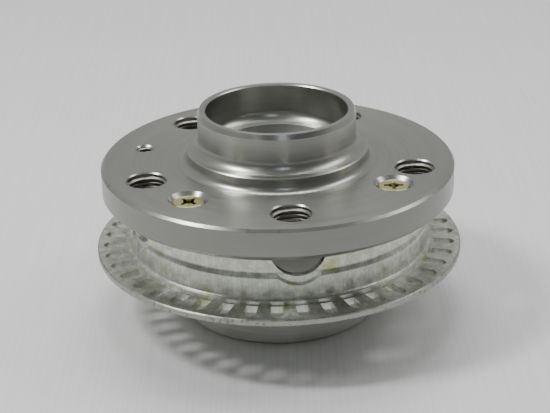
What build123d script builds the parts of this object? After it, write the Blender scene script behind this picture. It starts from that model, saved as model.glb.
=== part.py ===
from build123d import *
from math import radians, sqrt, tan
import os

# Driven wheel hub with a screwed-on tone ring and a double-row ball bearing on its journal.
# Millimetres. Z is the wheel's axis and points out of the car. The origin is the centre of the face
# that the brake disc and the wheel bolt against. Angles run from -Y towards +X.

# Wheel-bolt holes, cored at the thread's outer diameter
bolt_count = 5
bolt_circle_radius = 50.0
bolt_hole_radius = 7.0
bolt_hole_chamfer = 0.45
bolt_angle = 4.7

# Wheel flange and the two spigots that centre the disc and the wheel
flange_margin = 13.8
flange_thickness = 11.6
flange_front_chamfer = 0.9
flange_back_chamfer = 2.0
pilot_radius = 28.5
pilot_height = 19.1
pilot_wall = 3.0
pilot_lead_height = 1.7
pilot_lead_depth = 0.8
collar_width = 4.5
collar_height = 5.2
collar_chamfer = 0.4
collar_land = 0.2
collar_root_fillet = 2.8

# Cup in the pilot and the recess for the axle nut below it
cup_floor_height = 4.9
cup_floor_fillet = 3.6
cup_floor_slope = 8
cup_mouth_chamfer = 0.4
nut_recess_radius = 21.3
nut_recess_depth = 6.9

# Hole for the screw that holds the brake disc, halfway between two wheel bolts
disc_screw_circle_radius = 50.4
disc_screw_radius = 3.0
disc_screw_chamfer = 0.6

# Back of the hub: spigot that centres the tone ring, and the body down to the bearing's shoulder
spigot_radius = 42.0
spigot_height = 3.0
spigot_chamfer = 1.0
shoulder_height = 9.1
body_shoulder_radius = 27.4
body_foot_radius = 31.0
body_foot_height = 3.6
body_shoulder_chamfer = 1.2

# Screws that hold the tone ring
ring_screw_inset = 5.7
ring_screw_angles = (-39.8, 57.0, 188.6)
ring_screw_radius = 3.0
ring_screw_length = 14.5
ring_screw_head_radius = 5.3
ring_screw_head_rim = 0.85
ring_screw_sink_radius = 7.1
ring_screw_clearance = 0.2
ring_screw_gap = 0.05

# Tone ring, pressed from one thickness of sheet
sheet = 2.5
ring_height = 22.0
ring_wall_margin = 4.0
ring_joggle = 1.0
ring_joggle_depth = 8.9
ring_joggle_round = 1.5
ring_top_bend = 1.5
ring_foot_bend = 0.6
ring_ledge_width = 1.4
ring_ledge_height = 1.6
ring_ledge_round = 0.25
ring_ledge_land = 0.05
ring_bore_clearance = 0.05
brim_width = 10.5
brim_chamfer = 0.4

# Arches that the ends of the wheel bolts stand in
arch_angle = 6.8
arch_radius = 9.7
arch_centre_depth = 0.2
arch_lip = 2.2
arch_lip_depth = 0.9

# Collars drawn down round the tapped holes for the ring's screws
ring_collar_wall = 1.6
ring_collar_height = 2.0

# Slots in the brim
slot_count = 43
slot_angle = -1.2
slot_width = 4.2
slot_root_gap = 0.6
slot_rim_width = 2.3

# Bearing
bearing_bore_radius = 19.5
bearing_outer_radius = 36.0
bearing_width = 37.0
bearing_outer_chamfer = 1.2
bearing_bore_chamfer = 2.0
journal_fillet = 1.4
journal_end_gap = 1.5
journal_end_chamfer = 1.5

# Rolling elements and the grooves that they run in, from the circle of the balls' centres
ball_count = 13
ball_radius = 5.556
race_gap = 0.1
outer_high_shoulder = 2.6
outer_low_shoulder = 4.7
inner_high_shoulder = 2.6
inner_low_shoulder = 4.7

# Moulded cages
cage_inner_reach = 1.7
cage_outer_reach = 2.9
cage_back_wall = 0.7
cage_finger_reach = 2.6
cage_pocket_gap = 0.2
cage_seal_gap = 0.45

# Cassette seals
seal_seat_depth = 4.2
seal_seat_step = 0.5
seal_metal = 0.8
seal_recess = 0.4
seal_clearance = 0.5
lip_gap = 0.15
lip_body = 1.1
lip_edge = 0.35

# Splined bore for the drive shaft
spline_count = 36
spline_tip_radius = 13.2
spline_depth = 0.9
spline_groove_width = 1.5
spline_flank_angle = 30
spline_mouth_chamfer = 1.0

# Radii that several pieces share
flange_radius = bolt_circle_radius + flange_margin
collar_radius = pilot_radius + collar_width
cup_radius = pilot_radius - pilot_wall
ring_screw_circle_radius = spigot_radius + ring_screw_inset
ring_upper_radius = bolt_circle_radius + ring_wall_margin
ring_lower_radius = ring_upper_radius + ring_joggle
ring_ledge_radius = ring_lower_radius + ring_ledge_width
arch_dip_radius = ring_lower_radius - arch_lip_depth
brim_radius = ring_ledge_radius + brim_width
spline_root_radius = spline_tip_radius + spline_depth
ball_circle_radius = (bearing_bore_radius + bearing_outer_radius) / 2
outer_seat_radius = ball_circle_radius + outer_low_shoulder + seal_seat_step
inner_seat_radius = ball_circle_radius - inner_high_shoulder
case_bore_radius = outer_seat_radius - seal_metal
sleeve_radius = inner_seat_radius + seal_metal
web_radius = (sleeve_radius + case_bore_radius) / 2

# Heights that several pieces share
flange_back = -flange_thickness
nut_seat_height = cup_floor_height - nut_recess_depth
cup_foot_height = cup_floor_height + (cup_radius - nut_recess_radius) * tan(radians(cup_floor_slope))
ring_bottom = flange_back - ring_height
brim_top = ring_bottom + sheet
ledge_top = brim_top + ring_ledge_height
arch_centre = flange_back - arch_centre_depth
bearing_front = flange_back - shoulder_height
bearing_back = bearing_front - bearing_width
bearing_middle = bearing_front - bearing_width / 2
journal_end = bearing_back + journal_end_gap
row_depth = seal_seat_depth + cage_seal_gap + cage_back_wall + ball_radius
row_offset = bearing_width / 2 - row_depth
through = 2 * (pilot_height - bearing_back)

on_base = (Align.CENTER, Align.CENTER, Align.MIN)
hanging = (Align.CENTER, Align.CENTER, Align.MAX)


def turned(points):
    """Closed outline of (radius, height) points, ready to be revolved."""
    return make_face(Plane.XZ * Polyline(*points, close=True))


def rounded(section, corner, radius):
    """The section with the corner nearest to (radius, height) rounded."""
    radial, height = corner
    nearest = section.vertices().sort_by_distance(Vector(radial, 0, height))[0]
    return fillet(nearest, radius)


def around(count, first_angle):
    """Turns about the axis for equally spaced features."""
    return [Rot(0, 0, first_angle + index * 360 / count) for index in range(count)]


# ---------------------------------------------------------------------------- hub

def hub_section():
    """Half section of the forged and turned hub."""
    section = turned([
        (cup_radius + cup_mouth_chamfer, pilot_height),
        (pilot_radius - pilot_lead_depth, pilot_height),
        (pilot_radius, pilot_height - pilot_lead_height),
        (pilot_radius, collar_height),
        (collar_radius - collar_chamfer, collar_height),
        (collar_radius, collar_height - collar_chamfer),
        (collar_radius, 0),
        (flange_radius - flange_front_chamfer, 0),
        (flange_radius, -flange_front_chamfer),
        (flange_radius, flange_back + flange_back_chamfer),
        (flange_radius - flange_back_chamfer, flange_back),
        (spigot_radius, flange_back),
        (spigot_radius, flange_back - spigot_height),
        (spigot_radius - spigot_chamfer, flange_back - spigot_height - spigot_chamfer),
        (body_foot_radius, bearing_front + body_foot_height),
        (body_shoulder_radius, bearing_front + body_shoulder_chamfer),
        (body_shoulder_radius - body_shoulder_chamfer, bearing_front),
        (bearing_bore_radius, bearing_front),
        (bearing_bore_radius, journal_end + journal_end_chamfer),
        (bearing_bore_radius - journal_end_chamfer, journal_end),
        (spline_tip_radius + spline_mouth_chamfer, journal_end),
        (spline_tip_radius, journal_end + spline_mouth_chamfer),
        (spline_tip_radius, nut_seat_height),
        (nut_recess_radius, nut_seat_height),
        (nut_recess_radius, cup_floor_height),
        (cup_radius, cup_foot_height),
        (cup_radius, pilot_height - cup_mouth_chamfer),
    ])
    section = rounded(section, (pilot_radius, collar_height), collar_width - collar_chamfer - collar_land)
    section = rounded(section, (collar_radius, 0), collar_root_fillet)
    section = rounded(section, (cup_radius, cup_foot_height), cup_floor_fillet)
    return rounded(section, (bearing_bore_radius, bearing_front), journal_fillet)


def bolt_hole():
    """Wheel-bolt hole with a lead-in at its mouth, at the origin."""
    mouth_radius = bolt_hole_radius + bolt_hole_chamfer
    mouth = Cone(bolt_hole_radius, mouth_radius, bolt_hole_chamfer, align=hanging)
    return Cylinder(bolt_hole_radius, through) + mouth


def disc_screw_hole():
    """Threaded hole for the brake disc's screw, at the origin."""
    mouth_radius = disc_screw_radius + disc_screw_chamfer
    mouth = Cone(disc_screw_radius, mouth_radius, disc_screw_chamfer, align=hanging)
    return Cylinder(disc_screw_radius, through) + mouth


def ring_screw_hole():
    """Clearance hole with a right-angled countersink for one of the ring's screws."""
    hole_radius = ring_screw_radius + ring_screw_clearance
    sink_depth = ring_screw_sink_radius - hole_radius
    sink = Cone(hole_radius, ring_screw_sink_radius, sink_depth, align=hanging)
    return Cylinder(hole_radius, through) + sink


def spline_cutter():
    """Grooves of the drive spline, from the nut seat out through the end of the journal."""
    spread = spline_depth * tan(radians(spline_flank_angle))
    half_width = spline_groove_width / 2
    groove = make_face(Polyline(
        (-half_width - spread, spline_depth - spline_tip_radius),
        (half_width + spread, spline_depth - spline_tip_radius),
        (half_width - spread, -spline_root_radius),
        (spread - half_width, -spline_root_radius),
        close=True,
    ))
    length = nut_seat_height - journal_end
    tooth_space = Pos(0, 0, journal_end) * extrude(groove, length)
    return [turn * tooth_space for turn in around(spline_count, 0)]


def hub_forging():
    """Whole forging: flange, spigots, cup, bolt holes, bearing journal and splined bore."""
    body = revolve(hub_section(), Axis.Z)
    bolts = [turn * Pos(0, -bolt_circle_radius, 0) * bolt_hole() for turn in around(bolt_count, bolt_angle)]
    halfway = bolt_angle - 1.5 * 360 / bolt_count
    disc_hole = Rot(0, 0, halfway) * Pos(0, -disc_screw_circle_radius, 0) * disc_screw_hole()
    screws = [Rot(0, 0, angle) * Pos(0, -ring_screw_circle_radius, 0) * ring_screw_hole()
              for angle in ring_screw_angles]
    return body - bolts - disc_hole - screws - spline_cutter()


def hub_half(kept):
    """The forging on one side of the flange's back plane, so that each half keeps a simple shape."""
    return split(hub_forging(), bisect_by=Plane.XY.offset(flange_back), keep=kept)


# ---------------------------------------------------------------------------- tone ring

def ring_section():
    """Half section of the tone ring: seat, wall with its joggle, ledge and brim."""
    joggle_top = flange_back - ring_joggle_depth
    inside_shift = sheet * tan(radians(22.5))
    ring_bore = spigot_radius + ring_bore_clearance
    section = turned([
        (ring_bore, flange_back),
        (ring_upper_radius, flange_back),
        (ring_upper_radius, joggle_top),
        (ring_lower_radius, joggle_top - ring_joggle),
        (ring_lower_radius, ledge_top),
        (ring_ledge_radius, ledge_top),
        (ring_ledge_radius, brim_top),
        (brim_radius - brim_chamfer, brim_top),
        (brim_radius, brim_top - brim_chamfer),
        (brim_radius, ring_bottom + brim_chamfer),
        (brim_radius - brim_chamfer, ring_bottom),
        (ring_lower_radius - sheet, ring_bottom),
        (ring_lower_radius - sheet, joggle_top - ring_joggle - inside_shift),
        (ring_upper_radius - sheet, joggle_top - inside_shift),
        (ring_upper_radius - sheet, flange_back - sheet),
        (ring_bore, flange_back - sheet),
    ])
    section = rounded(section, (ring_upper_radius, flange_back), ring_top_bend + sheet)
    section = rounded(section, (ring_upper_radius - sheet, flange_back - sheet), ring_top_bend)
    section = rounded(section, (ring_lower_radius - sheet, ring_bottom), ring_foot_bend + sheet)
    section = rounded(section, (ring_upper_radius, joggle_top), ring_joggle_round)
    section = rounded(section, (ring_lower_radius, joggle_top - ring_joggle), ring_joggle_round)
    section = rounded(section, (ring_ledge_radius, ledge_top), ring_ledge_round)
    foot_fillet = ring_ledge_width - ring_ledge_round - ring_ledge_land
    return rounded(section, (ring_lower_radius, ledge_top), foot_fillet)


def outward(shape, radius, height):
    """A shape built along +Z, laid along -Y from the given radius and height."""
    return Pos(0, -radius, height) * Rot(90, 0, 0) * shape


def arch_lip_cutter():
    """What the dip round one arch takes off the outside of the lower wall, with a sloping edge."""
    lip_radius = arch_radius + arch_lip
    narrow = lip_radius - arch_lip_depth
    wide = lip_radius + 2 * arch_lip_depth
    cone = Cone(narrow, wide, 3 * arch_lip_depth, align=on_base)
    laid = outward(cone, arch_dip_radius - arch_lip_depth, arch_centre)
    return laid - Cylinder(arch_dip_radius, through)


def arch_lip_pad():
    """What the dip round one arch adds to the inside of the lower wall."""
    disc = outward(Cylinder(arch_radius + arch_lip, ring_upper_radius, align=on_base), 0, arch_centre)
    skin = Cylinder(ring_lower_radius - sheet / 2, ring_height, align=hanging)
    skin -= Cylinder(arch_dip_radius - sheet, ring_height, align=hanging)
    return disc & Pos(0, 0, flange_back - ring_joggle_depth) * skin


def arch_cutter():
    """Opening for a wheel bolt's end: upright through the seat, then an arch through the wall."""
    reach = brim_radius - bolt_circle_radius
    arch = outward(Cylinder(arch_radius, reach, align=on_base), bolt_circle_radius, arch_centre)
    upright_depth = sheet + ring_top_bend
    upright = Cylinder(arch_radius, upright_depth, align=hanging)
    return arch + Pos(0, -bolt_circle_radius, flange_back) * upright


def brim_slot():
    """One slot of the brim, square at the wall and round at the rim."""
    start = ring_ledge_radius + slot_root_gap
    tip_centre = brim_radius - slot_rim_width - slot_width / 2
    bar = Pos(0, -(start + tip_centre) / 2) * Rectangle(slot_width, tip_centre - start)
    tip = Pos(0, -tip_centre) * Circle(slot_width / 2)
    return Pos(0, 0, ring_bottom - sheet) * extrude(bar + tip, 3 * sheet)


def tone_ring():
    """Stamped tone ring that sits on the back of the flange."""
    ring = revolve(ring_section(), Axis.Z)
    arches = around(bolt_count, arch_angle)
    for turn in arches:
        ring += turn * arch_lip_pad()
    ring -= [turn * arch_lip_cutter() for turn in arches]
    ring -= [turn * arch_cutter() for turn in arches]
    collar_length = ring_collar_height + sheet / 2
    collar = Cylinder(ring_screw_radius + ring_collar_wall, collar_length, align=hanging)
    places = [Rot(0, 0, angle) * Pos(0, -ring_screw_circle_radius, flange_back - sheet / 2)
              for angle in ring_screw_angles]
    ring += [place * collar for place in places]
    ring -= [place * Cylinder(ring_screw_radius, through) for place in places]
    return ring - [turn * brim_slot() for turn in around(slot_count, slot_angle)]


# ---------------------------------------------------------------------------- ring screws

def ring_screws():
    """Countersunk screws that pass through the flange and pull the tone ring up."""
    shank_radius = ring_screw_radius - ring_screw_gap
    cone_height = ring_screw_head_radius - shank_radius
    seat_shift = ring_screw_gap * sqrt(2)
    head_depth = ring_screw_sink_radius - ring_screw_head_radius - seat_shift
    head = Cylinder(ring_screw_head_radius, ring_screw_head_rim, align=on_base)
    head += Cone(shank_radius, ring_screw_head_radius, cone_height, align=hanging)
    shank = Cylinder(shank_radius, ring_screw_length, align=hanging)
    screw = Pos(0, 0, -head_depth) * (head + shank)
    places = [Rot(0, 0, angle) * Pos(0, -ring_screw_circle_radius, 0) for angle in ring_screw_angles]
    return Compound([place * screw for place in places])


# ---------------------------------------------------------------------------- bearing

def row_height(side):
    """Height of a ball row's plane; side is 1 for the wheel's side and -1 for the car's side."""
    return bearing_middle + side * row_offset


def race_groove(side):
    """Round groove that a row of balls runs in."""
    return Plane.XZ * Pos(ball_circle_radius, row_height(side)) * Circle(ball_radius + race_gap)


def ring_band(inner, outer, low, high):
    """Section of a plain ring, from its two radii and two heights."""
    bottom, top = sorted((low, high))
    return turned([(inner, bottom), (outer, bottom), (outer, top), (inner, top)])


def bearing_outer_ring():
    """Fixed ring: two raceways, a high shoulder between them and a seal seat at each end."""
    shoulder = ball_circle_radius + outer_high_shoulder
    relief = ball_circle_radius + outer_low_shoulder
    corner = bearing_outer_chamfer
    section = turned([
        (shoulder, bearing_back),
        (bearing_outer_radius - corner, bearing_back),
        (bearing_outer_radius, bearing_back + corner),
        (bearing_outer_radius, bearing_front - corner),
        (bearing_outer_radius - corner, bearing_front),
        (shoulder, bearing_front),
    ])
    for side in (1, -1):
        row = row_height(side)
        end = bearing_middle + side * bearing_width / 2
        section -= ring_band(shoulder, relief, row, end)
        section -= ring_band(shoulder, outer_seat_radius, end - side * seal_seat_depth, end)
        section -= race_groove(side)
    return revolve(section, Axis.Z)


def bearing_inner_ring(side):
    """One of the two inner rings, with its high shoulder at the bearing's end."""
    low = ball_circle_radius - inner_low_shoulder
    end = bearing_middle + side * bearing_width / 2
    row = row_height(side)
    bore_chamfer = bearing_bore_chamfer
    section = ring_band(bearing_bore_radius, low, bearing_middle, end)
    section += ring_band(bearing_bore_radius, inner_seat_radius, row, end)
    section -= race_groove(side)
    corner = turned([
        (bearing_bore_radius, end),
        (bearing_bore_radius + bore_chamfer, end),
        (bearing_bore_radius, end - side * bore_chamfer),
    ])
    return revolve(section - corner, Axis.Z)


def ball(side, index):
    """One ball of a row."""
    place = Rot(0, 0, index * 360 / ball_count) * Pos(0, -ball_circle_radius, row_height(side))
    return place * Sphere(ball_radius)


def cage(side):
    """Moulded cage: a rim behind the balls and a finger between each two."""
    row = row_height(side)
    back = row + side * (ball_radius + cage_back_wall)
    fingertip = row - side * cage_finger_reach
    inner = ball_circle_radius - cage_inner_reach
    outer = ball_circle_radius + cage_outer_reach
    body = revolve(ring_band(inner, outer, fingertip, back), Axis.Z)
    pocket = Pos(0, -ball_circle_radius, row) * Sphere(ball_radius + cage_pocket_gap)
    return body - [turn * pocket for turn in around(ball_count, 0)]


def seal_stations(side):
    """Heights of a seal's parts, counted inwards from the bearing's end."""
    end = bearing_middle + side * bearing_width / 2
    return lambda depth: end - side * depth


def seal_case(side):
    """Steel case pressed into the outer ring, with a web that carries the rubber."""
    at = seal_stations(side)
    shell = ring_band(case_bore_radius, outer_seat_radius, at(seal_recess), at(seal_seat_depth))
    web = ring_band(web_radius, outer_seat_radius, at(seal_seat_depth - seal_metal), at(seal_seat_depth))
    return revolve(shell + web, Axis.Z)


def flinger(side):
    """Steel angle ring pressed on the inner ring, closing the bearing's end."""
    at = seal_stations(side)
    rim = case_bore_radius - seal_clearance
    sleeve = ring_band(inner_seat_radius, sleeve_radius, at(seal_recess), at(seal_seat_depth))
    disc = ring_band(inner_seat_radius, rim, at(seal_recess), at(seal_recess + seal_metal))
    return revolve(sleeve + disc, Axis.Z)


def seal_lip(side):
    """Rubber moulded to the case's web, with one lip on the flinger's sleeve and one on its disc."""
    at = seal_stations(side)
    web_top = at(seal_seat_depth - seal_metal)
    disc_side = at(seal_recess + seal_metal + lip_gap)
    return revolve(turned([
        (web_radius, at(seal_seat_depth)),
        (sleeve_radius + lip_gap, at(seal_seat_depth)),
        (sleeve_radius + lip_gap, at(seal_seat_depth - lip_edge)),
        (web_radius - lip_body, web_top),
        (web_radius + lip_body - lip_edge, disc_side),
        (web_radius + lip_body, disc_side),
        (web_radius, web_top),
    ]), Axis.Z)


# ---------------------------------------------------------------------------- all pieces

def pieces():
    """Every separate piece by its name."""
    made = {
        "hub": hub_half(Keep.TOP),
        "hub_journal": hub_half(Keep.BOTTOM),
        "tone_ring": tone_ring(),
        "ring_screws": ring_screws(),
        "bearing_outer_ring": bearing_outer_ring(),
    }
    for name, side in (("outboard", 1), ("inboard", -1)):
        made[f"inner_ring_{name}"] = bearing_inner_ring(side)
        made[f"cage_{name}"] = cage(side)
        made[f"seal_case_{name}"] = seal_case(side)
        made[f"seal_lip_{name}"] = seal_lip(side)
        made[f"flinger_{name}"] = flinger(side)
        for index in range(ball_count):
            made[f"ball_{name}_{index + 1:02d}"] = ball(side, index)
    return made


os.makedirs("parts", exist_ok=True)
for node, shape in pieces().items():
    export_step(shape, f"parts/{node}.step")
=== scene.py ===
import bpy
import bmesh
import math
from mathutils import Matrix, Vector


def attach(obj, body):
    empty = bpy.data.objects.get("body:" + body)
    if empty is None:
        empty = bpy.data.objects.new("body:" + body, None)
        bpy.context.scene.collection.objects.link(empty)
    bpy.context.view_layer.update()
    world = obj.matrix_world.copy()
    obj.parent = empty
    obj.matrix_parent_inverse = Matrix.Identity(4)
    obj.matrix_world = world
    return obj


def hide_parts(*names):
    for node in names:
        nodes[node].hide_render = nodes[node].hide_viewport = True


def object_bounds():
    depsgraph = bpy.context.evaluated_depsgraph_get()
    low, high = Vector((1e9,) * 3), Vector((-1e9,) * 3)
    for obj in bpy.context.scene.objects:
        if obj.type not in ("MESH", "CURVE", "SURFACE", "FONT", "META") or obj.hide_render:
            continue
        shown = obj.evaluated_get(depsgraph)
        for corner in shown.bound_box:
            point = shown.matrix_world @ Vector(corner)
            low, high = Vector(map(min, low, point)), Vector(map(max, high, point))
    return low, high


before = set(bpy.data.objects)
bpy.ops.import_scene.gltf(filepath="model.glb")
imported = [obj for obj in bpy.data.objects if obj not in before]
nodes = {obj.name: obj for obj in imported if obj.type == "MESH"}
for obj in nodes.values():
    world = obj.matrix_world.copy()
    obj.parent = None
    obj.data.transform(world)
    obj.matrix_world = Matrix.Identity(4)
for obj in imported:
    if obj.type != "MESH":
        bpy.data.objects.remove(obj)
cad_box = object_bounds()
mm = 0.001


# ---------------------------------------------------------------- camera
# The lens stands in front of the hub and a little above it, and looks down on the flange.
# Its distance and its tilt are those at which the flange and the neck take their right ellipses.
picture_width = 550
focal_length_px = 1431.3
camera_distance = 519.0 * mm
camera_elevation = math.radians(23.68)
camera_roll = math.radians(-1.16)
camera_right = 0.87 * mm
camera_up = 17.88 * mm


def link(piece):
    """Puts an object into the scene."""
    bpy.context.scene.collection.objects.link(piece)
    return piece


level = Matrix((
    (1, 0, 0),
    (0, math.sin(camera_elevation), -math.cos(camera_elevation)),
    (0, math.cos(camera_elevation), math.sin(camera_elevation)),
))
turned_camera = level @ Matrix.Rotation(camera_roll, 3, "Z")
camera_data = bpy.data.cameras.new("camera")
camera_data.sensor_width = 36
camera_data.lens = focal_length_px * camera_data.sensor_width / picture_width
camera_data.clip_start = 10 * mm
camera = bpy.data.objects.new("camera", camera_data)
camera.matrix_world = (
    Matrix.Translation(turned_camera @ Vector((-camera_right, -camera_up, camera_distance)))
    @ turned_camera.to_4x4()
)
bpy.context.scene.camera = link(camera)


# ---------------------------------------------------------------- light tent
# White cloth behind, a dimmer room with two small windows in front, lamps left, right and above, and
# a pale board below. It is slightly glossy and brushed towards the lens, so it smears what it reflects.
board_tone = (0.78, 0.78, 0.78, 1)
board_streak = (0.74, 0.74, 0.74, 1)
brush_scale = (900, 12, 1)
board_reach = 4.0
room_strength = 0.12
cloth_strength = 0.50
backdrop_tone = (0.70, 0.70, 0.70, 1)
floor_height = cad_box[0].z


class Shading:
    """Short way to build a node tree: each call adds a node, and sockets join by name."""

    def __init__(self, tree):
        self.tree = tree

    def add(self, kind, inputs=None, **settings):
        node = self.tree.nodes.new(kind)
        for key, value in settings.items():
            setattr(node, key, value)
        for key, value in (inputs or {}).items():
            if isinstance(value, bpy.types.NodeSocket):
                self.tree.links.new(value, node.inputs[key])
            else:
                node.inputs[key].default_value = value
        return node

    def math(self, operation, first, second=0.0, third=0.0):
        node = self.add("ShaderNodeMath", {0: first, 1: second, 2: third}, operation=operation)
        return node.outputs[0]

    def spread(self, value, low, high, to_low=0.0, to_high=1.0):
        """The value moved from one range to another, with smooth ends."""
        ranges = {"Value": value, 1: low, 2: high, 3: to_low, 4: to_high}
        node = self.add("ShaderNodeMapRange", ranges, interpolation_type="SMOOTHSTEP")
        return node.outputs[0]

    def blend(self, factor, first, second):
        node = self.add("ShaderNodeMix", data_type="RGBA")
        for socket, value in ((node.inputs[0], factor), (node.inputs[6], first), (node.inputs[7], second)):
            if isinstance(value, bpy.types.NodeSocket):
                self.tree.links.new(value, socket)
            else:
                socket.default_value = value
        return node.outputs[2]

    def place(self):
        """Coordinates on the object itself, so that its finish moves with it."""
        return self.add("ShaderNodeTexCoord").outputs["Object"]

    def noise(self, vector, scale, detail=2.0, roughness=0.5):
        """Grey value of a noise texture."""
        inputs = {"Vector": vector, "Scale": scale, "Detail": detail, "Roughness": roughness}
        return self.add("ShaderNodeTexNoise", inputs).outputs["Fac"]

    def bump(self, strength, depth, height):
        """Normal of a surface with the given relief."""
        inputs = {"Strength": strength, "Distance": depth, "Height": height}
        return self.add("ShaderNodeBump", inputs).outputs[0]

    def surface(self, inputs):
        """Ends a material with one shader."""
        shader = self.add("ShaderNodeBsdfPrincipled", inputs)
        self.add("ShaderNodeOutputMaterial", {"Surface": shader.outputs[0]})


def new_material(name):
    material = bpy.data.materials.new(name)
    material.use_nodes = True
    material.node_tree.nodes.clear()
    return material, Shading(material.node_tree)


world = bpy.data.worlds.new("tent")
world.use_nodes = True
world.node_tree.nodes.clear()
bpy.context.scene.world = world
sky = Shading(world.node_tree)
rays = sky.add("ShaderNodeLightPath")
outlook = sky.add("ShaderNodeSeparateXYZ", {0: sky.add("ShaderNodeTexCoord").outputs["Generated"]})
fall_off = sky.spread(outlook.outputs["Y"], -0.75, 0.45, room_strength, cloth_strength)
cloth = sky.add("ShaderNodeBackground", {"Color": (1, 1, 1, 1), "Strength": fall_off})
backdrop = sky.add("ShaderNodeBackground", {"Color": backdrop_tone, "Strength": 1.0})
seen = sky.add("ShaderNodeMixShader", {
    0: rays.outputs["Is Camera Ray"], 1: cloth.outputs[0], 2: backdrop.outputs[0]})
sky.add("ShaderNodeOutputWorld", {"Surface": seen.outputs[0]})


def lamp(name, direction, distance, width, height, power, tint=(1, 1, 1)):
    """Soft lamp that faces the flange from the given direction."""
    data = bpy.data.lights.new(name, "AREA")
    data.color = tint
    data.shape = "RECTANGLE"
    data.size = width
    data.size_y = height
    data.energy = power
    piece = bpy.data.objects.new(name, data)
    towards = Vector(direction).normalized()
    piece.location = towards * distance
    piece.rotation_euler = towards.to_track_quat("Z", "Y").to_euler()
    return link(piece)


lamp("lamp_left", (-0.56, -0.10, 0.82), 0.9, 0.14, 0.21, 5.6)
lamp("lamp_right", (0.66, 0.16, 0.73), 0.9, 0.30, 0.44, 1.9)
lamp("lamp_top", (0.0, 0.33, 0.94), 1.0, 0.55, 0.4, 6.0)
lamp("window_right", (0.12, -0.80, 0.59), 0.9, 0.05, 0.07, 0.30, (0.85, 0.95, 1.0))
lamp("window_left", (-0.42, -0.70, 0.55), 0.9, 0.035, 0.06, 0.12, (0.88, 0.97, 0.95))

floor_mesh = bpy.data.meshes.new("board")
board_corners = [
    (x * board_reach, y * board_reach, floor_height) for x, y in ((-1, -1), (1, -1), (1, 1), (-1, 1))]
floor_mesh.from_pydata(board_corners, [], [(0, 1, 2, 3)])
floor = bpy.data.objects.new("board", floor_mesh)
link(floor)

board_material, board = new_material("pale_board")
across = board.add("ShaderNodeMapping", {"Vector": board.place(), "Scale": brush_scale})
brushing = board.noise(across.outputs[0], 1.0, 3.0)
board.surface({
    "Base Color": board.blend(board.spread(brushing, 0.35, 0.65), board_streak, board_tone),
    "Roughness": 0.22, "IOR": 1.75, "Normal": board.bump(0.45, 0.03 * mm, brushing)})
floor.data.materials.append(board_material)


# ---------------------------------------------------------------- hub
# Forging of plain carbon steel, turned all over on a lathe and left bright. Its journal runs in the
# bearing. The tool leaves rings round the axis, which spread each reflection across them.
steel_tone = (0.400, 0.403, 0.378, 1)
steel_dark = (0.370, 0.373, 0.348, 1)
painted_flange_side_shade_tone = (0.20, 0.20, 0.19, 1)
nick_tone = (0.12, 0.12, 0.11, 1)
painted_hollow_light_tone = (0.62, 0.63, 0.60, 1)
flange_radius = 63.8 * mm
cup_radius = 25.5 * mm
nut_seat_height = -2.0 * mm
groove_depth = 0.01 * mm


def lathe_coordinates(shading, ring_scale, angle_scale):
    """Coordinates that change fast from ring to ring of a turned surface, and slowly round it."""
    place = shading.place()
    x, y, z = shading.add("ShaderNodeSeparateXYZ", {0: place}).outputs
    radius = shading.math("SQRT", shading.math("MULTIPLY_ADD", x, x, shading.math("MULTIPLY", y, y)))
    along = shading.math("MULTIPLY", shading.math("ADD", radius, z), ring_scale)
    round_x = shading.math("MULTIPLY", shading.math("DIVIDE", x, radius), angle_scale)
    round_y = shading.math("MULTIPLY", shading.math("DIVIDE", y, radius), angle_scale)
    joined = shading.add("ShaderNodeCombineXYZ", {0: along, 1: round_x, 2: round_y})
    return joined.outputs[0], radius, z, place


def turned_metal(name, light, dark, roughness, grooves, smudge=0.06, anisotropy=0.6, local=None):
    """Bright metal with lathe rings and faint smudges, which a given function may change in places."""
    material, shading = new_material(name)
    rings, radius, height, place = lathe_coordinates(shading, 900.0, 1.2)
    ring_noise = shading.noise(rings, 1.0, 5.0)
    fine_rings = lathe_coordinates(shading, 5200.0, 2.5)[0]
    relief = shading.noise(fine_rings, 1.0)
    blotches = shading.noise(place, 55.0, 4.0)
    specks = shading.noise(place, 900.0)
    tone = shading.blend(shading.spread(ring_noise, 0.36, 0.64), dark, light)
    pits = shading.spread(specks, 0.70, 0.78, 0.0, 0.35)
    tone = shading.blend(pits, tone, dark)
    haze = shading.math("MULTIPLY_ADD", blotches, smudge * 2, roughness - smudge)
    rough = shading.math("MULTIPLY_ADD", ring_noise, 0.08, haze)
    if local:
        tone, rough, relief = local(shading, (radius, height, place), tone, rough, relief)
    turning = shading.add("ShaderNodeTangent", direction_type="RADIAL", axis="Z")
    shading.surface({
        "Base Color": tone, "Metallic": 1.0, "Roughness": rough,
        "Normal": shading.bump(grooves, groove_depth, relief),
        "Anisotropic": anisotropy, "Anisotropic Rotation": 0.25, "Tangent": turning.outputs[0]})
    return material


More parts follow.
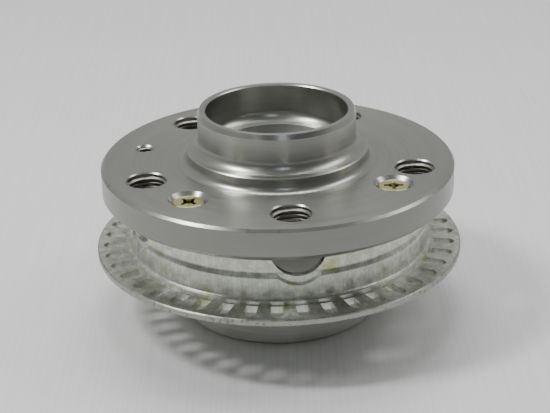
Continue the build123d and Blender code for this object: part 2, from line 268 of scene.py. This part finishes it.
def hub_wear_and_painted_light(shading, position, tone, rough, relief):
    """Painted shade darkening the flange's side, nicks along its front edge, and a rougher cup and recess
    whose tone is lightened as painted light.
    """
    radius, height, place = position
    # Painted shade: the flange's outer side is darkened, as if it got less light.
    side = shading.spread(radius, flange_radius - 0.12 * mm, flange_radius - 0.04 * mm)
    tone = shading.blend(side, tone, shading.blend(0.65, tone, painted_flange_side_shade_tone))
    edge = shading.spread(radius, flange_radius - 1.5 * mm, flange_radius - 0.9 * mm)
    front = shading.spread(height, -1.5 * mm, -0.7 * mm)
    dents = shading.spread(shading.noise(place, 240.0, 5.0), 0.57, 0.63)
    struck = shading.math("MULTIPLY", shading.math("MULTIPLY", edge, front), dents)
    relief = shading.math("MULTIPLY_ADD", struck, -3.0, relief)
    tone = shading.blend(shading.math("MULTIPLY", struck, 0.3), tone, nick_tone)
    # Inside the cup and its recess the finish is rougher, and its tone is lightened as painted light.
    within = shading.spread(radius, cup_radius + 0.2 * mm, cup_radius - 4 * mm)
    above = shading.spread(height, nut_seat_height - 0.6 * mm, nut_seat_height - 0.3 * mm)
    rough_with_painted_light = shading.math("MULTIPLY", within, above)
    rough = shading.math("MULTIPLY_ADD", rough_with_painted_light, 0.14, rough)
    tone = shading.blend(rough_with_painted_light, tone, shading.blend(0.38, tone, painted_hollow_light_tone))
    return tone, rough, relief


def dress(node, material):
    """Gives a CAD piece its finish."""
    for slot in nodes[node].material_slots:
        slot.material = material


hub_steel = turned_metal("turned_steel", steel_tone, steel_dark, 0.27, 0.25, 0.04, 0.45, hub_wear_and_painted_light)
dress("hub", hub_steel)
dress("hub_journal", hub_steel)


# ---------------------------------------------------------------- screw threads
# Cut thread in each wheel-bolt hole and in the brake disc's screw hole, of the hub's own steel.
# A helical ridge stands on the plain wall of each hole, with its foot sunk a little into it.
cut_steel = turned_metal(
    "cut_thread", (0.30, 0.295, 0.255, 1), (0.22, 0.215, 0.18, 1), 0.34, 0.20, 0.05, 0.2)
bolt_circle_radius = 50.0 * mm
bolt_angle = 4.7
disc_screw_circle_radius = 50.4 * mm
thread_top = -1.1 * mm
foot_depth = 0.03 * mm
thread_segments = 72
weld_distance = 0.0001 * mm
crease_angle = math.radians(35)


def thread_tree():
    """Node group that puts a helical ridge round each point of a mesh, hanging down from the point."""
    tree = bpy.data.node_groups.new("thread", "GeometryNodeTree")
    face = tree.interface
    face.new_socket("Points", in_out="INPUT", socket_type="NodeSocketGeometry")
    for name in ("Foot radius", "Crest radius", "Pitch", "Turns", "Foot width", "Crest width"):
        face.new_socket(name, in_out="INPUT", socket_type="NodeSocketFloat")
    face.new_socket("Material", in_out="INPUT", socket_type="NodeSocketMaterial")
    face.new_socket("Ridges", in_out="OUTPUT", socket_type="NodeSocketGeometry")
    net = Shading(tree)
    given = net.add("NodeGroupInput").outputs
    foot, crest, pitch, turns = (given[name] for name in ("Foot radius", "Crest radius", "Pitch", "Turns"))
    length = net.math("MULTIPLY", pitch, turns)
    middle = net.math("MULTIPLY", net.math("ADD", foot, crest), 0.5)
    rise = net.math("SUBTRACT", foot, crest)
    height = net.math("ABSOLUTE", rise)
    facing = net.add("ShaderNodeCombineXYZ", {
        2: net.math("MULTIPLY", net.math("SIGN", rise), math.radians(-90))})
    helix = net.add("GeometryNodeCurveSpiral", {
        "Resolution": thread_segments, "Rotations": turns, "Start Radius": middle, "End Radius": middle,
        "Height": length})
    upright = net.add("GeometryNodeSetCurveNormal", {"Curve": helix.outputs[0]}, mode="Z_UP")
    profile = net.add("GeometryNodeCurvePrimitiveQuadrilateral", {
        "Bottom Width": given["Foot width"], "Top Width": given["Crest width"], "Height": height,
        "Offset": 0.0}, mode="TRAPEZOID")
    turned_profile = net.add("GeometryNodeTransform", {
        "Geometry": profile.outputs[0], "Rotation": facing.outputs[0]})
    ridge = net.add("GeometryNodeCurveToMesh", {
        "Curve": upright.outputs[0], "Profile Curve": turned_profile.outputs[0], "Fill Caps": True})
    lowered = net.add("ShaderNodeCombineXYZ", {2: net.math("MULTIPLY", length, -1.0)})
    hung = net.add("GeometryNodeTransform", {"Geometry": ridge.outputs[0], "Translation": lowered.outputs[0]})
    copies = net.add("GeometryNodeInstanceOnPoints", {
        "Points": given["Points"], "Instance": hung.outputs[0]})
    real = net.add("GeometryNodeRealizeInstances", {0: copies.outputs[0]})
    coloured = net.add("GeometryNodeSetMaterial", {
        "Geometry": real.outputs[0], "Material": given["Material"]})
    net.add("NodeGroupOutput", {"Ridges": coloured.outputs[0]})
    return tree


def grown(name, tree, points, values, turns=None):
    """Plain mesh object that a node group makes from points, with its faces turned outward."""
    seed = bpy.data.meshes.new(name)
    seed.from_pydata(points, [], [])
    if turns:
        angles = seed.attributes.new("turn", "FLOAT", "POINT")
        angles.data.foreach_set("value", [math.radians(turn) for turn in turns])
    maker = bpy.data.objects.new(name + "_maker", seed)
    link(maker)
    modifier = maker.modifiers.new("grow", "NODES")
    modifier.node_group = tree
    for item in tree.interface.items_tree:
        if item.name in values:
            modifier[item.identifier] = values[item.name]
    evaluated = maker.evaluated_get(bpy.context.evaluated_depsgraph_get())
    mesh = bpy.data.meshes.new_from_object(evaluated)
    bpy.data.objects.remove(maker)
    mesh.materials.clear()
    mesh.materials.append(values["Material"])
    mesh.polygons.foreach_set("material_index", [0] * len(mesh.polygons))
    work = bmesh.new()
    work.from_mesh(mesh)
    bmesh.ops.remove_doubles(work, verts=work.verts, dist=weld_distance)
    if work.calc_volume(signed=True) < 0:
        bmesh.ops.reverse_faces(work, faces=work.faces)
    work.to_mesh(mesh)
    work.free()
    mesh.shade_smooth()
    mesh.set_sharp_from_angle(angle=crease_angle)
    piece = bpy.data.objects.new(name, mesh)
    return link(piece)


def on_circle(radius, angle, height):
    """Point at an angle counted from the side that faces the lens."""
    turn = math.radians(angle)
    return (radius * math.sin(turn), -radius * math.cos(turn), height)


ridge_tree = thread_tree()
bolt_places = [on_circle(bolt_circle_radius, bolt_angle + 72 * index, thread_top) for index in range(5)]
bolt_threads = grown("bolt_threads", ridge_tree, bolt_places, {
    "Foot radius": 7.0 * mm + foot_depth, "Crest radius": 6.19 * mm, "Pitch": 1.5 * mm, "Turns": 6.5,
    "Foot width": 1.36 * mm, "Crest width": 0.36 * mm, "Material": cut_steel})
disc_place = [on_circle(disc_screw_circle_radius, bolt_angle - 108, thread_top)]
disc_thread = grown("disc_screw_thread", ridge_tree, disc_place, {
    "Foot radius": 3.0 * mm + foot_depth, "Crest radius": 2.46 * mm, "Pitch": 1.0 * mm, "Turns": 10.0,
    "Foot width": 0.90 * mm, "Crest width": 0.24 * mm, "Material": cut_steel})
for piece in (bolt_threads, disc_thread):
    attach(piece, "hub_assembly")


# ---------------------------------------------------------------- bearing
# Rings and balls of hardened bearing steel, pressed onto the hub's journal. All rings are ground, the outer
# one has painted shade darkening its upper part, and the balls are lapped until they mirror.
painted_upper_shade_tone = (0.37, 0.37, 0.35, 1)


def painted_upper_shade(shading, position, tone, rough, relief):
    """Painted shade: darker upper part of the ring, up inside the tone ring."""
    # Painted shade: the ring is darker in tone above and lighter towards the floor.
    upper_shade_mask = shading.spread(position[1], -36 * mm, -31 * mm)
    return shading.blend(upper_shade_mask, tone, painted_upper_shade_tone), rough, relief


ring_steel = turned_metal(
    "ground_ring", (0.62, 0.62, 0.59, 1), (0.55, 0.55, 0.52, 1), 0.40, 0.15, local=painted_upper_shade)
dress("bearing_outer_ring", ring_steel)
race_steel = turned_metal("ground_race", (0.50, 0.50, 0.49, 1), (0.43, 0.43, 0.42, 1), 0.18, 0.10)
dress("inner_ring_outboard", race_steel)
dress("inner_ring_inboard", race_steel)

ball_material, ball_shading = new_material("lapped_steel")
ball_noise = ball_shading.noise(ball_shading.place(), 300.0)
ball_shading.surface({
    "Base Color": (0.66, 0.66, 0.67, 1), "Metallic": 1.0,
    "Roughness": ball_shading.spread(ball_noise, 0.3, 0.7, 0.05, 0.11)})
for name in nodes:
    if name.startswith("ball_"):
        dress(name, ball_material)


# ---------------------------------------------------------------- cages
# Moulded in nylon filled with short glass fibres, which show as fine pale flecks. Each cage rides on
# its row of balls, which it keeps apart.
cage_material, cage_shading = new_material("filled_nylon")
flecks = cage_shading.noise(cage_shading.place(), 1600.0, 3.0)
cage_shading.surface({
    "Base Color": cage_shading.blend(
        cage_shading.spread(flecks, 0.45, 0.75), (0.05, 0.045, 0.04, 1), (0.16, 0.14, 0.12, 1)),
    "Roughness": 0.5, "Normal": cage_shading.bump(0.3, 0.03 * mm, flecks)})
dress("cage_outboard", cage_material)
dress("cage_inboard", cage_material)


# ---------------------------------------------------------------- seals
# Each seal is a steel case pressed into the outer ring and a steel angle ring pressed onto an inner
# ring, with a black rubber lip between them.
seal_steel = turned_metal("pressed_steel", (0.36, 0.36, 0.35, 1), (0.29, 0.29, 0.28, 1), 0.36, 0.15)
for side in ("outboard", "inboard"):
    dress(f"seal_case_{side}", seal_steel)
    dress(f"flinger_{side}", seal_steel)

rubber_material, rubber_shading = new_material("lip_rubber")
rubber_grain = rubber_shading.noise(rubber_shading.place(), 2600.0, 3.0)
rubber_shading.surface({
    "Base Color": rubber_shading.blend(rubber_grain, (0.018, 0.018, 0.018, 1), (0.04, 0.04, 0.04, 1)),
    "Roughness": 0.6, "Normal": rubber_shading.bump(0.3, 0.03 * mm, rubber_grain)})
dress("seal_lip_outboard", rubber_material)
dress("seal_lip_inboard", rubber_material)


# ---------------------------------------------------------------- tone ring
# Deep-drawn from sheet steel, punched, zinc plated and screwed to the flange's back. The die leaves
# fine upright marks on the wall, and the plating has yellow-green stains where the rinse dried.
brim_radius = 66.9 * mm
zinc_light = (0.74, 0.75, 0.70, 1)
zinc_dark = (0.47, 0.485, 0.43, 1)
draw_mark_tone = (0.42, 0.44, 0.36, 1)
stain_tone = (0.47, 0.47, 0.19, 1)
brim_edge_dark_tone = (0.26, 0.265, 0.24, 1)
torn_tone = (0.16, 0.16, 0.12, 1)

zinc_material, zinc = new_material("plated_sheet")
drawn, zinc_radius, _, zinc_place = lathe_coordinates(zinc, 45.0, 150.0)
draw_marks = zinc.noise(drawn, 1.0, 4.0)
clouds = zinc.noise(zinc_place, 300.0, 8.0, 0.75)
stains = zinc.noise(zinc_place, 130.0, 8.0, 0.75)
burr = zinc.noise(zinc_place, 520.0, 4.0)
crystals = zinc.add("ShaderNodeTexVoronoi", {"Vector": zinc_place, "Scale": 1100.0})
# The brim's outer edge is darker in tone, with dark torn specks along it.
darker_brim_edge = zinc.spread(zinc_radius, brim_radius - 0.7 * mm, brim_radius - 0.2 * mm, 0.0, 0.7)
torn = zinc.math("MULTIPLY", darker_brim_edge, zinc.spread(burr, 0.56, 0.64))
zinc_tone = zinc.blend(zinc.spread(clouds, 0.38, 0.62), zinc_dark, zinc_light)
zinc_tone = zinc.blend(zinc.spread(draw_marks, 0.40, 0.62, 0.35, 0.0), zinc_tone, draw_mark_tone)
zinc_tone = zinc.blend(zinc.spread(stains, 0.55, 0.66, 0.0, 0.8), zinc_tone, stain_tone)
zinc_tone = zinc.blend(darker_brim_edge, zinc_tone, brim_edge_dark_tone)
zinc_tone = zinc.blend(torn, zinc_tone, torn_tone)
zinc_relief = zinc.math("MULTIPLY_ADD", crystals.outputs["Distance"], 0.5, draw_marks)
zinc.surface({
    "Base Color": zinc_tone, "Metallic": 1.0, "Roughness": zinc.spread(clouds, 0.3, 0.7, 0.28, 0.44),
    "Normal": zinc.bump(0.55, 0.03 * mm, zinc_relief)})
dress("tone_ring", zinc_material)


# ---------------------------------------------------------------- ring screws
# Three countersunk steel screws with a cross recess pull the tone ring up against the flange.
# Cold-headed, thread-rolled, zinc plated and passivated yellow, so the film shines green to pink.
screw_circle_radius = 47.7 * mm
screw_angles = (-39.8, 57.0, 188.6)
cross_turns = (47.0, -2.0, 20.0)
head_underside = -1.729 * mm
screw_segments = 96
core_segments = 32
screw_thread_top = -5.8 * mm
wing_levels = ((1.20, 3.62, 0.66), (-2.05, 1.75, 0.46), (-2.35, 1.10, 0.40))
core_profile = ((2.05, 1.20), (1.28, -1.90), (0.55, -2.60))
screw_profile = (
    (4.55, 0.85), (4.90, 0.83), (5.12, 0.75), (5.25, 0.60), (5.30, 0.42), (5.30, 0.06), (5.26, -0.06),
    (3.05, -2.27), (2.94, -2.45), (2.94, -3.10), (2.42, -3.50), (2.42, -13.7), (1.75, -14.45),
)


def turned_solid(work, profile, segments):
    """Closed round body in a bmesh, from (radius, height) pairs in millimetres, top first."""
    loops = []
    for radius, height in profile:
        loops.append([work.verts.new((
            radius * mm * math.cos(2 * math.pi * step / segments),
            radius * mm * math.sin(2 * math.pi * step / segments), height * mm)) for step in range(segments)])
    for upper, lower in zip(loops, loops[1:]):
        for step in range(segments):
            after = (step + 1) % segments
            work.faces.new((upper[step], lower[step], lower[after], upper[after]))
    work.faces.new(loops[0])
    work.faces.new(list(reversed(loops[-1])))


def cross_punch(work):
    """Punch of a cross recess: four wings that narrow towards the tip, round a blunt core."""
    for quarter in range(2):
        turn = Matrix.Rotation(math.radians(90 * quarter), 3, "Z")
        rings = []
        for height, reach_out, half in wing_levels:
            corners = ((-reach_out, -half), (reach_out, -half), (reach_out, half), (-reach_out, half))
            rings.append([work.verts.new(turn @ Vector((x * mm, y * mm, height * mm))) for x, y in corners])
        for upper, lower in zip(rings, rings[1:]):
            for side in range(4):
                after = (side + 1) % 4
                work.faces.new((upper[side], lower[side], lower[after], upper[after]))
        work.faces.new(rings[0])
        work.faces.new(list(reversed(rings[-1])))
    turned_solid(work, core_profile, core_segments)


def solid_object(name, builders, material):
    """Object whose mesh the given functions build, with its normals turned outward."""
    work = bmesh.new()
    for build in builders:
        build(work)
    bmesh.ops.recalc_face_normals(work, faces=work.faces)
    mesh = bpy.data.meshes.new(name)
    work.to_mesh(mesh)
    work.free()
    mesh.materials.append(material)
    piece = bpy.data.objects.new(name, mesh)
    return link(piece)


def placed_tree():
    """Node group that puts a copy of one object on each point, turned by the point's own angle."""
    tree = bpy.data.node_groups.new("placed", "GeometryNodeTree")
    face = tree.interface
    face.new_socket("Points", in_out="INPUT", socket_type="NodeSocketGeometry")
    face.new_socket("Pattern piece", in_out="INPUT", socket_type="NodeSocketObject")
    face.new_socket("Material", in_out="INPUT", socket_type="NodeSocketMaterial")
    face.new_socket("Copies", in_out="OUTPUT", socket_type="NodeSocketGeometry")
    net = Shading(tree)
    given = net.add("NodeGroupInput").outputs
    pattern = net.add("GeometryNodeObjectInfo", {"Object": given["Pattern piece"]})
    angle = net.add("GeometryNodeInputNamedAttribute", {"Name": "turn"}, data_type="FLOAT")
    turn = net.add("ShaderNodeCombineXYZ", {2: angle.outputs[0]})
    copies = net.add("GeometryNodeInstanceOnPoints", {
        "Points": given["Points"], "Instance": pattern.outputs["Geometry"], "Rotation": turn.outputs[0]})
    real = net.add("GeometryNodeRealizeInstances", {0: copies.outputs[0]})
    coloured = net.add("GeometryNodeSetMaterial", {
        "Geometry": real.outputs[0], "Material": given["Material"]})
    net.add("NodeGroupOutput", {"Copies": coloured.outputs[0]})
    return tree


yellow_dark = (0.50, 0.50, 0.20, 1)
yellow_light = (0.66, 0.62, 0.30, 1)
pink_film = (0.62, 0.50, 0.42, 1)
rubbed_tone = (0.72, 0.71, 0.60, 1)
painted_recess_shade_tone = (0.06, 0.055, 0.02, 1)

yellow_material, yellow = new_material("yellow_passivated")
yellow_place = yellow.place()
film = yellow.noise(yellow_place, 330.0, 4.0, 0.6)
worn = yellow.noise(yellow_place, 620.0, 3.0)
yellow_tone = yellow.blend(yellow.spread(film, 0.36, 0.62), yellow_dark, yellow_light)
yellow_tone = yellow.blend(yellow.spread(film, 0.60, 0.72, 0.0, 0.7), yellow_tone, pink_film)
yellow_tone = yellow.blend(yellow.spread(worn, 0.60, 0.75, 0.0, 0.6), yellow_tone, rubbed_tone)
yellow_x, yellow_y, yellow_z = yellow.add("ShaderNodeSeparateXYZ", {0: yellow_place}).outputs
yellow_flat = yellow.add("ShaderNodeCombineXYZ", {0: yellow_x, 1: yellow_y})
# Painted shade: the cross recess and the lower cone of each head, inside its countersink, are darkened.
from_axis = 1.0
for angle in screw_angles:
    axis_point = on_circle(screw_circle_radius, angle, 0.0)
    ends = {0: yellow_flat.outputs[0], 1: axis_point}
    apart = yellow.add("ShaderNodeVectorMath", ends, operation="DISTANCE")
    from_axis = yellow.math("MINIMUM", apart.outputs["Value"], from_axis)
inside = yellow.spread(from_axis, 3.9 * mm, 3.3 * mm)
deep = yellow.spread(yellow_z, -1.00 * mm, -1.50 * mm)
above_shank = yellow.spread(yellow_z, -4.6 * mm, -4.2 * mm)
painted_recess_shade = yellow.math("MULTIPLY", yellow.math("MULTIPLY", inside, deep), above_shank)
yellow_tone = yellow.blend(yellow.math("MULTIPLY", painted_recess_shade, 0.9), yellow_tone, painted_recess_shade_tone)
yellow.surface({
    "Base Color": yellow_tone, "Metallic": 1.0, "Roughness": 0.30,
    "Normal": yellow.bump(0.3, 0.02 * mm, worn)})
dress("ring_screws", yellow_material)

blank = solid_object("screw_blank", [
    lambda work: turned_solid(work, screw_profile, screw_segments)], yellow_material)
punch = solid_object("screw_punch", [cross_punch], yellow_material)
recess = blank.modifiers.new("recess", "BOOLEAN")
recess.operation = "DIFFERENCE"
recess.solver = "EXACT"
recess.use_self = True
recess.object = punch
headed = bpy.data.meshes.new_from_object(blank.evaluated_get(bpy.context.evaluated_depsgraph_get()))
blank.modifiers.clear()
blank.data = headed
screw_places = [on_circle(screw_circle_radius, angle, head_underside) for angle in screw_angles]
screws = grown("countersunk_screws", placed_tree(), screw_places, {
    "Pattern piece": blank, "Material": yellow_material}, cross_turns)
thread_places = [on_circle(screw_circle_radius, angle, screw_thread_top) for angle in screw_angles]
screw_threads = grown("rolled_threads", ridge_tree, thread_places, {
    "Foot radius": 2.40 * mm, "Crest radius": 2.93 * mm, "Pitch": 1.0 * mm, "Turns": 9.3,
    "Foot width": 0.86 * mm, "Crest width": 0.14 * mm, "Material": yellow_material})
bpy.data.objects.remove(blank)
bpy.data.objects.remove(punch)
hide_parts("ring_screws")
for piece in (screws, screw_threads):
    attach(piece, "hub_assembly")
